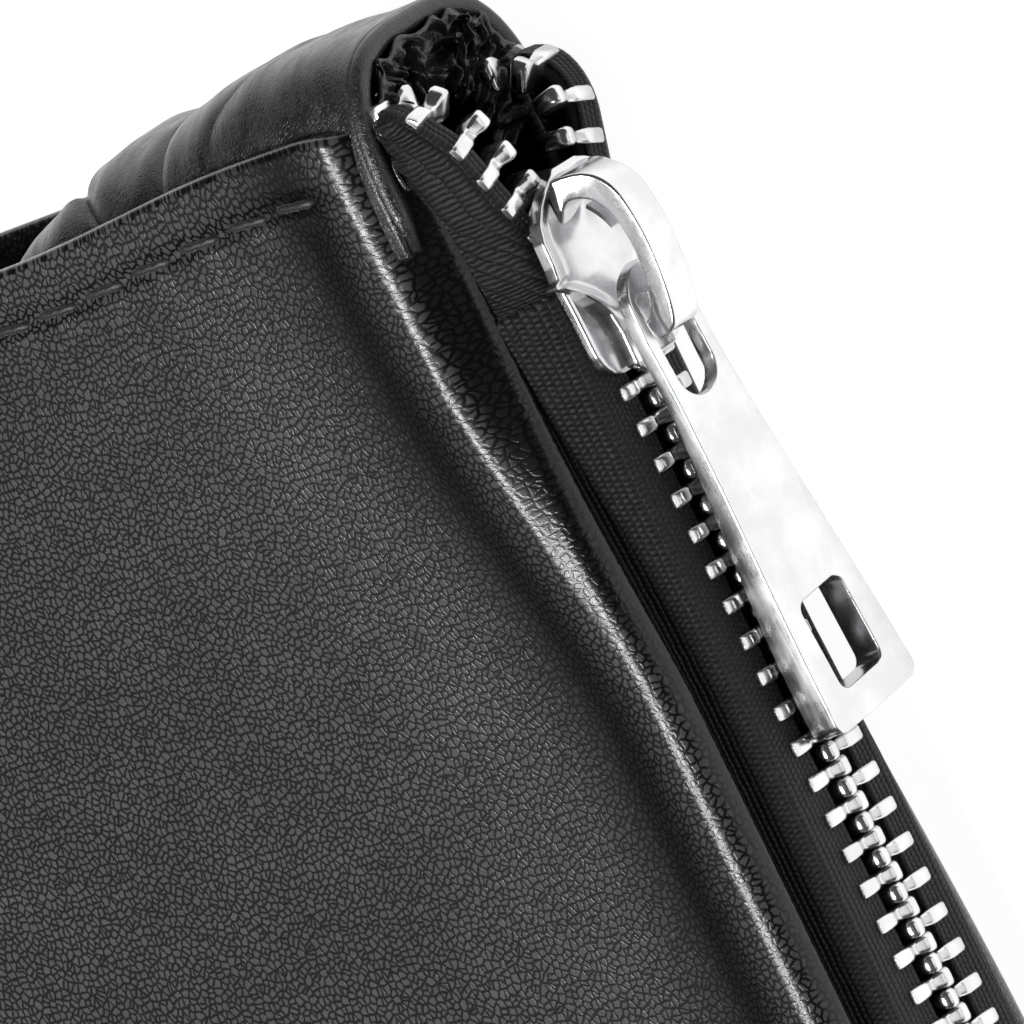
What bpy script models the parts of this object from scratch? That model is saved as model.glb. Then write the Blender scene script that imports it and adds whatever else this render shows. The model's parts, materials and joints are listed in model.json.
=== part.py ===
"""Long wallet with a zip along one long side, a gusset at each short end and a coin leaf inside.

The wallet lies on its rear panel. X runs along the zip, the zip is at -Y and the spine at +Y,
and +Z is up, through the front panel. The origin is the middle of the rear panel's outer face.
All sizes are in metres.
"""

from math import cos, pi, radians, sin

import bmesh
import bpy
from mathutils import Matrix, Vector

# Whole wallet
PANEL_HALF_LENGTH = 0.094
THICKNESS = 0.019
LEATHER = 0.0013
GAP = 0.0003
ZIP_SIDE_Y = -0.049
SPINE_RADIUS = THICKNESS / 2
SPINE_CENTRE_Y = 0.0395
HINGE_Y = SPINE_CENTRE_Y + SPINE_RADIUS - LEATHER / 2
HINGE_Z = THICKNESS / 2
ROLL_RADIUS = 0.003
FRONT_EDGE_Z = 0.0158
REAR_EDGE_Z = 0.0031
REAR_SETBACK = 0.0005
NOTCH_X = 0.084
NOTCH_Y = -0.0455

# Main zip, a metal chain with a 2.5 mm tooth pitch
CHAIN_Y = -0.0495
CHAIN_Z = 0.009
TOOTH_PITCH = 0.0025
TOOTH_WIDTH = 0.0009
TOOTH_HALF_THICK = 0.0011
CHAIN_HALF_WIDTH = 0.00295
TOOTH_ROOT = 0.0019
TOOTH_HEAD = 0.0007
ROW_START = -0.0875
SPLIT_START = 0.0795
SPLIT_ANGLE = radians(20)
SPLIT_LENGTH = 0.003
TURN_START = 0.0922
TURN_RADIUS = 0.0024
TURN_ANGLE = radians(80)
ROW_END = 0.0955
TAPE_THICK = 0.0005
TAPE_INNER_Y = -0.0468

# Slider and puller
SLIDER_X = 0.0807
SLIDER_TAIL = -0.0069
SLIDER_NOSE = 0.0069
SLIDER_HALF_WIDTH = 0.0048
SLIDER_INSIDE = 0.0014
SLIDER_OUTSIDE = 0.0022
CROWN_HEIGHT = 0.0066
CROWN_HALF_WIDTH = 0.0014
PIVOT_X = 0.0789
PIVOT_Y = CHAIN_Y - 0.0038
PULLER_LENGTH = 0.0325
PULLER_TOP_THICK = 0.0011
PULLER_TIP_THICK = 0.0023
PULLER_YAW = radians(-5.5)
PULLER_PITCH = radians(-1.2)
BAR_RADIUS = 0.0011
EYE_NEAR = 0.0007
EYE_FAR = 0.0084
EYE_HALF_WIDTH = 0.0019
EYE_CORNER = 0.0003
SLOT_NEAR = PULLER_LENGTH - 0.0096
SLOT_FAR = PULLER_LENGTH - 0.0033
SLOT_HALF_WIDTH = 0.0023
SLOT_CORNER = 0.0007

# Inside layers, as heights above the rear face
INNER_HALF_LENGTH = 0.0855
INNER_SPINE_Y = 0.0385
INNER_MOUTH_Y = -0.0435
REAR_LINING = (0.0016, 0.0020)
CARD_BASE = (0.0024, 0.0028)
CARD_SLOT_THICK = 0.0003
CARD_SLOT_MOUTHS = (-0.030, -0.018, -0.006)
LEAF_REAR_WALL = (0.0089, 0.0093)
LEAF_FRONT_WALL = (0.0113, 0.0117)
SLIP_POCKET = (0.0162, 0.0166)
FRONT_LINING = (0.0170, 0.0174)

# Coin zip, lying flat in the face of the coin leaf
COIN_Y = -0.033
COIN_Z = 0.01085
COIN_HALF_LENGTH = 0.074
COIN_ROW_GAP = 0.00015
COIN_ROW_WIDTH = 0.0018
COIN_ROW_HALF_THICK = 0.0006
COIN_TAPE_WIDTH = 0.0052
COIN_TAPE_THICK = 0.0003
COIN_SLIDER_X = -0.066
COIN_PIVOT_X = COIN_SLIDER_X + 0.0012
COIN_PIVOT_Z = COIN_Z + 0.0025

# Gussets
GUSSET_ROOT_X = 0.0865
GUSSET_BULGE_X = 0.0997
GUSSET_THICK = 0.0011
HEM_THICK = 0.0013
HEM_Y = (-0.0455, -0.0435)
GUSSET_Y = (-0.0432, 0.0385)

COLOURS = {
    "leather": ((0.022, 0.022, 0.023, 1), 0.0, 0.45),
    "lining": ((0.030, 0.030, 0.032, 1), 0.0, 0.80),
    "tape": ((0.012, 0.012, 0.013, 1), 0.0, 0.90),
    "teeth": ((0.78, 0.78, 0.79, 1), 1.0, 0.22),
    "polished": ((0.80, 0.80, 0.81, 1), 1.0, 0.12),
    "brushed": ((0.74, 0.74, 0.75, 1), 1.0, 0.30),
}


def clear_scene():
    for obj in list(bpy.data.objects):
        bpy.data.objects.remove(obj, do_unlink=True)


def make_material(name, finish):
    colour, metallic, roughness = COLOURS[finish]
    material = bpy.data.materials.new(name + "_material")
    material.use_nodes = True
    shader = material.node_tree.nodes["Principled BSDF"]
    shader.inputs["Base Color"].default_value = colour
    shader.inputs["Metallic"].default_value = metallic
    shader.inputs["Roughness"].default_value = roughness
    return material


def make_pivot(name, place, parent=None):
    """An empty on a joint's axis, which the moving pieces are parented to."""
    pivot = bpy.data.objects.new(name, None)
    pivot.empty_display_size = 0.005
    bpy.context.scene.collection.objects.link(pivot)
    pivot.location = Vector(place)
    if parent:
        pivot.parent = parent
        pivot.location = Vector(place) - world_place(parent)
    return pivot


def world_place(pivot):
    place = pivot.location.copy()
    while pivot.parent:
        pivot = pivot.parent
        place += pivot.location
    return place


def finish_mesh(bm, name, finish, pivot=None, smooth=False):
    """Turns the bmesh, which is in world space, into an object under its pivot."""
    bmesh.ops.recalc_face_normals(bm, faces=bm.faces)
    mesh = bpy.data.meshes.new(name)
    bm.to_mesh(mesh)
    bm.free()
    obj = bpy.data.objects.new(name, mesh)
    bpy.context.scene.collection.objects.link(obj)
    if pivot:
        mesh.transform(Matrix.Translation(-world_place(pivot)))
        obj.parent = pivot
    if finish:
        mesh.materials.append(make_material(name, finish))
    if smooth:
        mesh.shade_smooth()
        mesh.set_sharp_from_angle(angle=radians(35))
    return obj


def prism(outline, depth, to_world):
    """A closed prism: the 2D outline, and its copy at depth, each point placed by to_world(u, v, w)."""
    bm = bmesh.new()
    low, high = depth
    start = [bm.verts.new(to_world(u, v, low)) for u, v in outline]
    end = [bm.verts.new(to_world(u, v, high)) for u, v in outline]
    caps = [bm.faces.new(start), bm.faces.new(list(reversed(end)))]
    count = len(outline)
    for i in range(count):
        j = (i + 1) % count
        bm.faces.new((start[j], start[i], end[i], end[j]))
    bmesh.ops.triangulate(bm, faces=caps)
    return bm


def ribbon(outer, inner, depth, to_world):
    """A closed band between two open outlines with the same number of points, extruded between two depths."""
    bm = bmesh.new()
    rings = [[bm.verts.new(to_world(u, v, w)) for u, v in line] for w in depth for line in (outer, inner)]
    near_outer, near_inner, far_outer, far_inner = rings
    for i in range(len(outer) - 1):
        bands = [(near_outer, near_inner), (far_inner, far_outer)]
        bands += [(near_inner, far_inner), (far_outer, near_outer)]
        for a, b in bands:
            bm.faces.new((a[i], a[i + 1], b[i + 1], b[i]))
    for i in (0, -1):
        bm.faces.new((near_outer[i], near_inner[i], far_inner[i], far_outer[i]))
    return bm


def along_x(y, z, x):
    return (x, y, z)


def along_y(x, z, y):
    return (x, y, z)


def along_z(x, y, z):
    return (x, y, z)


def arc(centre, radius, start, end, steps):
    """Points of a circular arc between two angles in degrees."""
    points = []
    for i in range(steps + 1):
        angle = radians(start + (end - start) * i / steps)
        points.append((centre[0] + radius * cos(angle), centre[1] + radius * sin(angle)))
    return points


def box(name, x, y, z, finish, pivot=None):
    outline = [(x[0], y[0]), (x[1], y[0]), (x[1], y[1]), (x[0], y[1])]
    return finish_mesh(prism(outline, z, along_z), name, finish, pivot)


def hide_helper(obj):
    obj.hide_render = True
    obj.display_type = "WIRE"


def boolean(obj, helper, operation, solver="EXACT"):
    hide_helper(helper)
    modifier = obj.modifiers.new(helper.name, "BOOLEAN")
    modifier.operation = operation
    modifier.solver = solver
    modifier.object = helper


def rounded_rectangle(x, y, radius, steps=3):
    points = []
    corners = [(x[1], y[1], 0), (x[0], y[1], 90), (x[0], y[0], 180), (x[1], y[0], 270)]
    for cx, cy, start in corners:
        centre = (cx - radius if cx == x[1] else cx + radius, cy - radius if cy == y[1] else cy + radius)
        points += arc(centre, radius, start, start + 90, steps)
    return points


# Panels


def panel_profile(edge_height, setback):
    """Outer panel seen along X, drawn for the rear: flat, a quarter of the spine, and a rolled zip edge."""
    zip_y = ZIP_SIDE_Y + setback
    roll = (zip_y + ROLL_RADIUS, ROLL_RADIUS)
    spine = (SPINE_CENTRE_Y, SPINE_RADIUS)
    outer = [(zip_y, edge_height)] + arc(roll, ROLL_RADIUS, 180, 270, 5)
    outer += arc(spine, SPINE_RADIUS, -90, -2, 8)
    inner = arc(spine, SPINE_RADIUS - LEATHER, -2, -90, 8)
    inner += arc(roll, ROLL_RADIUS - LEATHER, 270, 180, 5) + [(zip_y + LEATHER, edge_height)]
    points = outer + inner
    return [p for i, p in enumerate(points) if (Vector(p) - Vector(points[i - 1])).length > 1e-5]


def make_panel(name, edge_height, setback, flipped, pivot=None):
    profile = panel_profile(edge_height, setback)
    if flipped:
        profile = [(y, THICKNESS - z) for y, z in profile]
    bm = prism(profile, (-PANEL_HALF_LENGTH, PANEL_HALF_LENGTH), along_x)
    panel = finish_mesh(bm, name, "leather", pivot)
    for end, sign in (("top", 1), ("bottom", -1)):
        xs = sorted((sign * NOTCH_X, sign * (PANEL_HALF_LENGTH + 0.01)))
        notch = box(f"{name}_{end}_notch", xs, (ZIP_SIDE_Y - 0.01, NOTCH_Y), (-0.01, 0.03), None)
        # The exact solver drops this long thin shell, so the notches use the manifold one.
        boolean(panel, notch, "DIFFERENCE", "MANIFOLD")
    return panel


def make_layer(name, z, mouth_y, finish, pivot=None):
    """A flat inner layer with rounded corners, from its mouth edge to the spine."""
    ends = (-INNER_HALF_LENGTH, INNER_HALF_LENGTH)
    outline = rounded_rectangle(ends, (mouth_y, INNER_SPINE_Y), 0.003)
    return finish_mesh(prism(outline, z, along_z), name, finish, pivot)


# Gussets


def gusset_arch(bulge_x, thick, side, steps=14):
    """A squarish arch seen along Y, from the rear panel out to the bulge and back to the front panel."""
    middle = THICKNESS / 2
    half = middle - LEATHER - GAP
    reach = bulge_x - GUSSET_ROOT_X

    def ring(shrink):
        points = []
        for i in range(steps + 1):
            angle = -pi / 2 + pi * i / steps
            across = abs(cos(angle)) ** (2 / 3)
            along = abs(sin(angle)) ** (2 / 3) * (1 if angle > 0 else -1)
            x = GUSSET_ROOT_X + (reach - shrink) * across
            points.append((side * x, middle + (half - shrink) * along))
        return points

    return ring(0), ring(thick)


def make_gusset(end, side):
    outer, inner = gusset_arch(GUSSET_BULGE_X, GUSSET_THICK, side)
    finish_mesh(ribbon(outer, inner, GUSSET_Y, along_y), f"{end}_gusset", "leather", smooth=True)
    outer, inner = gusset_arch(GUSSET_BULGE_X, HEM_THICK, side)
    finish_mesh(ribbon(outer, inner, HEM_Y, along_y), f"{end}_gusset_hem", "leather", smooth=True)


# Main zip


def smooth_step(value):
    value = min(max(value, 0), 1)
    return value * value * (3 - 2 * value)


def chain_stations():
    """Places and headings along one tooth row, from the bottom stop to the turned-in top end.

    Each station is (run, place, spread, turn): spread is how far the row has swung away from the
    other row, and turn is how far it has bent down into the wallet.
    """
    step = TOOTH_PITCH / 20
    run = ROW_START
    x, inward, apart = ROW_START, 0.0, 0.0
    stations = []
    while run < ROW_END + TOOTH_PITCH:
        spread = SPLIT_ANGLE * smooth_step((run - SPLIT_START) / SPLIT_LENGTH)
        spread *= 1 - smooth_step((run - TURN_START) / (TURN_RADIUS * TURN_ANGLE))
        turn = min(max((run - TURN_START) / TURN_RADIUS, 0), TURN_ANGLE)
        stations.append((run, (x, inward, apart), spread, turn))
        x += step * cos(turn) * cos(spread)
        inward += step * sin(turn)
        apart += step * cos(turn) * sin(spread)
        run += step
    return stations


STATIONS = chain_stations()


def chain_place(run, across, out, side):
    """World place of a point by a tooth row: across points to the other row, out away from the wallet."""
    index = int(round((run - ROW_START) / (TOOTH_PITCH / 20)))
    _, (x, inward, apart), spread, turn = STATIONS[min(max(index, 0), len(STATIONS) - 1)]
    place = Vector((x, CHAIN_Y + inward, CHAIN_Z + side * apart))
    to_other = Vector((sin(spread), 0, -side * cos(spread)))
    outward = Vector((sin(turn) * cos(spread), -cos(turn), side * sin(turn) * sin(spread)))
    return place + to_other * across + outward * out


def add_cells(bm, cells, half_thick, side):
    """Closed lattice: each cell is (run0, run1, across0, across1), and cells share their corners."""
    verts = {}
    walls = {}

    def corner(run, across, out):
        key = (round(run, 7), round(across, 7), out)
        if key not in verts:
            verts[key] = bm.verts.new(chain_place(run, across, out * half_thick, side))
        return verts[key]

    for run0, run1, across0, across1 in cells:
        ring = [(run0, across0), (run1, across0), (run1, across1), (run0, across1)]
        bm.faces.new([corner(*p, 1) for p in ring])
        bm.faces.new([corner(*p, -1) for p in reversed(ring)])
        for i in range(4):
            a, b = ring[i], ring[(i + 1) % 4]
            key = tuple(sorted((tuple(round(c, 7) for c in a), tuple(round(c, 7) for c in b))))
            walls.setdefault(key, []).append((a, b))
    for shared in walls.values():
        if len(shared) == 1:
            a, b = shared[0]
            bm.faces.new((corner(*b, 1), corner(*a, 1), corner(*a, -1), corner(*b, -1)))


def make_tooth_row(name, side, offset, pivot=None):
    """One comb: a bead that the teeth are clamped on, with a tooth at every pitch."""
    bead = (-CHAIN_HALF_WIDTH, -TOOTH_ROOT)
    cells = []
    run = ROW_START + offset
    while run + TOOTH_PITCH < ROW_END:
        cells.append((run, run + TOOTH_WIDTH, *bead))
        cells.append((run, run + TOOTH_WIDTH, -TOOTH_ROOT, TOOTH_HEAD))
        cells.append((run + TOOTH_WIDTH, run + TOOTH_PITCH, *bead))
        run += TOOTH_PITCH
    cells.append((run, run + TOOTH_WIDTH, *bead))
    cells.append((run, run + TOOTH_WIDTH, -TOOTH_ROOT, TOOTH_HEAD))
    bm = bmesh.new()
    add_cells(bm, cells, TOOTH_HALF_THICK, side)
    return finish_mesh(bm, name, "teeth", pivot)


def tape_profile(side):
    """Tape seen along X: flat beside the teeth, then bent in behind the leather edge."""
    flat_start = CHAIN_Z + side * (CHAIN_HALF_WIDTH + GAP)
    flat_end = CHAIN_Z + side * 0.0052
    half = TAPE_THICK / 2
    outer = [(CHAIN_Y - half, flat_start), (CHAIN_Y - half, flat_end + side * half)]
    outer += [(TAPE_INNER_Y + half, flat_end + side * half)]
    inner = [(TAPE_INNER_Y + half, flat_end - side * half), (CHAIN_Y + half, flat_end - side * half)]
    inner += [(CHAIN_Y + half, flat_start)]
    return outer + inner


def make_tape(name, side, pivot=None):
    bm = prism(tape_profile(side), (ROW_START - 0.003, SPLIT_START - 0.0005), along_x)
    return finish_mesh(bm, name, "tape", pivot)


def make_tape_tail(name, side, pivot=None):
    """The loose end of the tape, which follows the parting row and turns down into the wallet."""
    bm = bmesh.new()
    cells = []
    run = SPLIT_START
    edge = -(CHAIN_HALF_WIDTH + GAP)
    while run < ROW_END - TOOTH_PITCH / 2:
        cells.append((run, run + TOOTH_PITCH / 2, edge - 0.0011, edge))
        run += TOOTH_PITCH / 2
    add_cells(bm, cells, TAPE_THICK / 2, side)
    return finish_mesh(bm, name, "tape", pivot)


def make_top_stop(name, side, pivot=None):
    bm = bmesh.new()
    start = ROW_END + 0.0004
    add_cells(bm, [(start, start + 0.0013, -CHAIN_HALF_WIDTH, TOOTH_HEAD)], TOOTH_HALF_THICK, side)
    return finish_mesh(bm, name, "teeth", pivot)


def make_bottom_stop():
    x = (ROW_START - 0.0026, ROW_START - GAP)
    y = (CHAIN_Y - 0.0014, CHAIN_Y + 0.0014)
    z = (CHAIN_Z - 0.0028, CHAIN_Z + 0.0028)
    box("bottom_stop", x, y, z, "teeth")


# Sliders


def slider_plan(tail, nose, half_width):
    """Half-heart plan of a slider plate: a narrower tail, full shoulders and a rounded nose."""
    upper = [(tail, half_width * 0.86), (tail + 0.0015, half_width * 0.92), (0.0005, half_width)]
    upper += [(nose - 0.0030, half_width * 0.97), (nose - 0.0012, half_width * 0.72)]
    upper += [(nose, half_width * 0.34)]
    return upper + [(x, -v) for x, v in reversed(upper)]


def make_slider_body(pivot):
    """Two plates joined by the wedge that parts the teeth, with side flanges over the tape."""
    plan = slider_plan(SLIDER_TAIL, SLIDER_NOSE, SLIDER_HALF_WIDTH)

    def place(x, z, y):
        return (SLIDER_X + x, CHAIN_Y + y, CHAIN_Z + z)

    bm = prism(plan, (-SLIDER_OUTSIDE, -SLIDER_INSIDE), place)
    body = finish_mesh(bm, "slider_body", "polished", pivot)
    bm = prism(plan, (SLIDER_INSIDE, SLIDER_OUTSIDE), place)
    inner = finish_mesh(bm, "slider_inner_plate", None)
    wedge = [(0.0040, 0.00025), (SLIDER_NOSE - 0.0002, 0.0010)]
    wedge += [(x, -z) for x, z in reversed(wedge)]
    post = prism(wedge, (-SLIDER_OUTSIDE + 0.0002, SLIDER_OUTSIDE - 0.0002), place)
    boolean(body, finish_mesh(post, "slider_wedge", None), "UNION")
    boolean(body, inner, "UNION")
    flange_x = (SLIDER_X + SLIDER_TAIL + 0.0002, SLIDER_X + 0.0004)
    for side in (-1, 1):
        z = sorted((CHAIN_Z + side * 0.0036, CHAIN_Z + side * SLIDER_HALF_WIDTH * 0.86))
        for face in (-1, 1):
            y = sorted((CHAIN_Y + face * 0.0006, CHAIN_Y + face * (SLIDER_INSIDE + 0.0002)))
            label = f"slider_flange_{'front' if side > 0 else 'rear'}_{'out' if face < 0 else 'in'}"
            boolean(body, box(label, flange_x, y, z, None), "UNION")
    return body


def make_crown(name, pivot, centre_x, feet, height, wall, half_width, place, base):
    """An arched strap over a slider plate, with the puller's bar inside it."""
    outer = arch_outline(feet, height, base)
    inner = arch_outline(feet - wall, height - wall, base)
    outer, inner = ([(centre_x + x, h) for x, h in line] for line in (outer, inner))
    bm = ribbon(outer, inner, (-half_width, half_width), place)
    return finish_mesh(bm, name, "polished", pivot, smooth=True)


def arch_outline(half_span, height, base, steps=12):
    """A squarish half ring, from one foot to the other, both standing at the base height."""
    points = []
    for i in range(steps + 1):
        angle = pi * i / steps
        across = abs(cos(angle)) ** 0.7 * (1 if angle < pi / 2 else -1)
        points.append((half_span * across, base + (height - base) * sin(angle) ** 0.8))
    return points


def puller_half_width(distance):
    """Half of the puller's width: narrow round the eye, widening steadily to the tip."""
    return 0.00285 + (0.0046 - 0.00285) * smooth_step((distance - 0.004) / 0.030)


def make_puller(pivot):
    """Flat puller with a long eye for the crown, a rounded slot near the tip, and a thicker tip."""
    tip = PULLER_LENGTH - BAR_RADIUS
    stations = (0.002, 0.006, 0.011, 0.016, 0.021, 0.026, tip - 0.0008)
    side = [(-BAR_RADIUS, 0.0017), (0.0, 0.00265)]
    side += [(d, puller_half_width(d)) for d in stations]
    side += [(tip, puller_half_width(tip) - 0.0008)]
    outline = side + [(d, -w) for d, w in reversed(side)]
    turn = Matrix.Rotation(PULLER_YAW, 3, "Y") @ Matrix.Rotation(PULLER_PITCH, 3, "Z")
    centre = world_place(pivot)
    outer_face = -PULLER_TOP_THICK / 2

    def inner_face(distance):
        growth = smooth_step((distance - 0.005) / 0.022)
        return outer_face + PULLER_TOP_THICK + (PULLER_TIP_THICK - PULLER_TOP_THICK) * growth

    def plate_place(distance, across, level):
        inward = inner_face(distance) if level else outer_face
        return centre + turn @ Vector((-distance, inward, across))

    def cutter_place(distance, across, inward):
        return centre + turn @ Vector((-distance, inward, across))

    puller = finish_mesh(prism(outline, (0, 1), plate_place), "puller", "brushed", pivot)
    shoulder, corner = EYE_NEAR + EYE_CORNER, EYE_HALF_WIDTH - EYE_CORNER
    eye = [(shoulder, EYE_HALF_WIDTH), (EYE_NEAR, corner), (EYE_NEAR, -corner), (shoulder, -EYE_HALF_WIDTH)]
    eye += arc((EYE_FAR - EYE_HALF_WIDTH, 0), EYE_HALF_WIDTH, -90, 90, 6)
    slot = rounded_rectangle((SLOT_NEAR, SLOT_FAR), (-SLOT_HALF_WIDTH, SLOT_HALF_WIDTH), SLOT_CORNER)
    for name, hole in (("puller_eye", eye), ("puller_slot", slot)):
        cutter = finish_mesh(prism(hole, (-0.004, 0.004), cutter_place), name, None)
        boolean(puller, cutter, "DIFFERENCE")
    return puller


def make_main_slider(slider_pivot, puller_pivot):
    make_slider_body(slider_pivot)

    def crown_place(x, height, z):
        return (x, CHAIN_Y - height, CHAIN_Z + z)

    base = SLIDER_OUTSIDE + GAP
    centre = SLIDER_X + 0.0002
    make_crown(
        "slider_crown", slider_pivot, centre, 0.0057, CROWN_HEIGHT, 0.0016, CROWN_HALF_WIDTH,
        crown_place, base,
    )
    spring = arc((centre, 0.0), 0.0047, 68, 40, 5) + arc((centre, 0.0), 0.0044, 40, 68, 5)
    bm = prism(spring, (-0.0007, 0.0007), crown_place)
    finish_mesh(bm, "slider_lock_spring", "polished", slider_pivot)
    make_puller(puller_pivot)


# Coin leaf


def make_coin_leaf(pivot):
    make_layer("coin_pocket_rear_wall", LEAF_REAR_WALL, INNER_MOUTH_Y + 0.002, "leather", pivot)
    wall_mouth = COIN_Y + COIN_ROW_GAP + COIN_ROW_WIDTH + 0.0016
    make_layer("coin_pocket_front_wall", LEAF_FRONT_WALL, wall_mouth, "leather", pivot)
    band_y = (INNER_MOUTH_Y + 0.002, COIN_Y - COIN_ROW_GAP - COIN_ROW_WIDTH - 0.0016)
    half = INNER_HALF_LENGTH
    box("coin_pocket_top_band", (-half, half), band_y, LEAF_FRONT_WALL, "leather", pivot)
    for name, side in (("upper", -1), ("lower", 1)):
        row = [COIN_Y + side * COIN_ROW_GAP, COIN_Y + side * (COIN_ROW_GAP + COIN_ROW_WIDTH)]
        z = (COIN_Z - COIN_ROW_HALF_THICK, COIN_Z + COIN_ROW_HALF_THICK)
        xs = (-COIN_HALF_LENGTH, COIN_HALF_LENGTH)
        box(f"coin_tooth_row_{name}", xs, sorted(row), z, "teeth", pivot)
        tape = sorted((row[1] + side * GAP, row[1] + side * COIN_TAPE_WIDTH))
        z = (COIN_Z - COIN_TAPE_THICK / 2, COIN_Z + COIN_TAPE_THICK / 2)
        xs = (-COIN_HALF_LENGTH - 0.004, COIN_HALF_LENGTH + 0.004)
        box(f"coin_zip_tape_{name}", xs, tape, z, "tape", pivot)
    for end, sign in (("closed", -1), ("open", 1)):
        xs = sorted((sign * (COIN_HALF_LENGTH + GAP), sign * (COIN_HALF_LENGTH + 0.002)))
        y = (COIN_Y - 0.0019, COIN_Y + 0.0019)
        box(f"coin_zip_stop_{end}", xs, y, (COIN_Z - 0.0007, COIN_Z + 0.0007), "teeth", pivot)


def make_coin_slider(slider_pivot, puller_pivot):
    plan = [(x * 0.62, y * 0.72) for x, y in slider_plan(SLIDER_TAIL, SLIDER_NOSE, SLIDER_HALF_WIDTH)]

    def place(x, y, z):
        return (COIN_SLIDER_X - x, COIN_Y + y, COIN_Z + z)

    inside = COIN_ROW_HALF_THICK + GAP
    bm = prism(plan, (inside, inside + 0.0005), place)
    body = finish_mesh(bm, "coin_slider_body", "polished", slider_pivot)
    bm = prism(plan, (-inside - 0.0004, -inside), place)
    inner = finish_mesh(bm, "coin_slider_inner_plate", None)
    wedge = [(0.0030, -0.00008), (0.0041, -0.00008), (0.0041, 0.00008), (0.0030, 0.00008)]
    post = finish_mesh(prism(wedge, (-inside - 0.0002, inside + 0.0002), place), "coin_slider_wedge", None)
    boolean(body, post, "UNION")
    boolean(body, inner, "UNION")

    def crown_place(x, height, y):
        return (x, COIN_Y + y, COIN_Z + height)

    base = inside + 0.0005 + GAP
    make_crown(
        "coin_slider_crown", slider_pivot, COIN_SLIDER_X, 0.0032, 0.0044, 0.0008, 0.0008,
        crown_place, base,
    )
    outline = [(-0.0005, -0.0011), (-0.0005, 0.0011), (0.0010, 0.0017), (0.0100, 0.0022)]
    outline += [(0.0105, 0.0017)] + [(0.0105, -0.0017), (0.0100, -0.0022), (0.0010, -0.0017)]
    centre = world_place(puller_pivot)

    def puller_place(distance, across, height):
        return (centre.x + distance, centre.y + across, centre.z + height)

    bm = prism(outline, (-0.0004, 0.0004), puller_place)
    puller = finish_mesh(bm, "coin_puller", "brushed", puller_pivot)
    eye = rounded_rectangle((0.0005, 0.0050), (-0.00115, 0.00115), 0.0004)
    cutter = finish_mesh(prism(eye, (-0.002, 0.002), puller_place), "coin_puller_eye", None)
    boolean(puller, cutter, "DIFFERENCE")


def main():
    clear_scene()
    front = make_pivot("front_shell_hinge", (0, HINGE_Y, HINGE_Z))
    leaf = make_pivot("coin_leaf_hinge", (0, HINGE_Y, HINGE_Z))
    slider = make_pivot("zip_slider_origin", (SLIDER_X, CHAIN_Y, CHAIN_Z))
    puller = make_pivot("puller_axis", (PIVOT_X, PIVOT_Y, CHAIN_Z), slider)
    coin_slider = make_pivot("coin_slider_origin", (COIN_SLIDER_X, COIN_Y, COIN_Z), leaf)
    coin_puller = make_pivot("coin_puller_axis", (COIN_PIVOT_X, COIN_Y, COIN_PIVOT_Z), coin_slider)

    make_panel("rear_panel", REAR_EDGE_Z, REAR_SETBACK, False)
    make_layer("rear_lining", REAR_LINING, INNER_MOUTH_Y, "lining")
    make_layer("card_panel", CARD_BASE, INNER_MOUTH_Y + 0.003, "leather")
    for number, mouth_y in enumerate(CARD_SLOT_MOUTHS, 1):
        low = CARD_BASE[1] + number * GAP + (number - 1) * CARD_SLOT_THICK
        make_layer(f"card_slot_{number}", (low, low + CARD_SLOT_THICK), mouth_y, "leather")
    for end, side in (("top", 1), ("bottom", -1)):
        make_gusset(end, side)
    make_tape("rear_zip_tape", -1)
    make_tape_tail("rear_tape_end", -1)
    make_tooth_row("rear_tooth_row", -1, TOOTH_PITCH / 2)
    make_top_stop("rear_top_stop", -1)
    make_bottom_stop()

    make_panel("front_panel", THICKNESS - FRONT_EDGE_Z, 0.0, True, front)
    make_layer("front_lining", FRONT_LINING, INNER_MOUTH_Y, "lining", front)
    make_layer("slip_pocket", SLIP_POCKET, INNER_MOUTH_Y + 0.006, "leather", front)
    make_tape("front_zip_tape", 1, front)
    make_tape_tail("front_tape_end", 1, front)
    make_tooth_row("front_tooth_row", 1, 0.0, front)
    make_top_stop("front_top_stop", 1, front)

    make_main_slider(slider, puller)
    make_coin_leaf(leaf)
    make_coin_slider(coin_slider, coin_puller)


main()
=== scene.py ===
"""Looks for the long wallet: leather, zip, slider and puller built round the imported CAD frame.

The wallet lies on its rear panel. +X runs along the zip to its closed end, the zip is at -Y,
the spine at +Y, and +Z goes up through the front panel. Sizes are in metres.
"""

import json

from math import cos, pi, radians, sin, sqrt

import bmesh
import bpy
import numpy as np
from mathutils import Matrix, Vector


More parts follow.
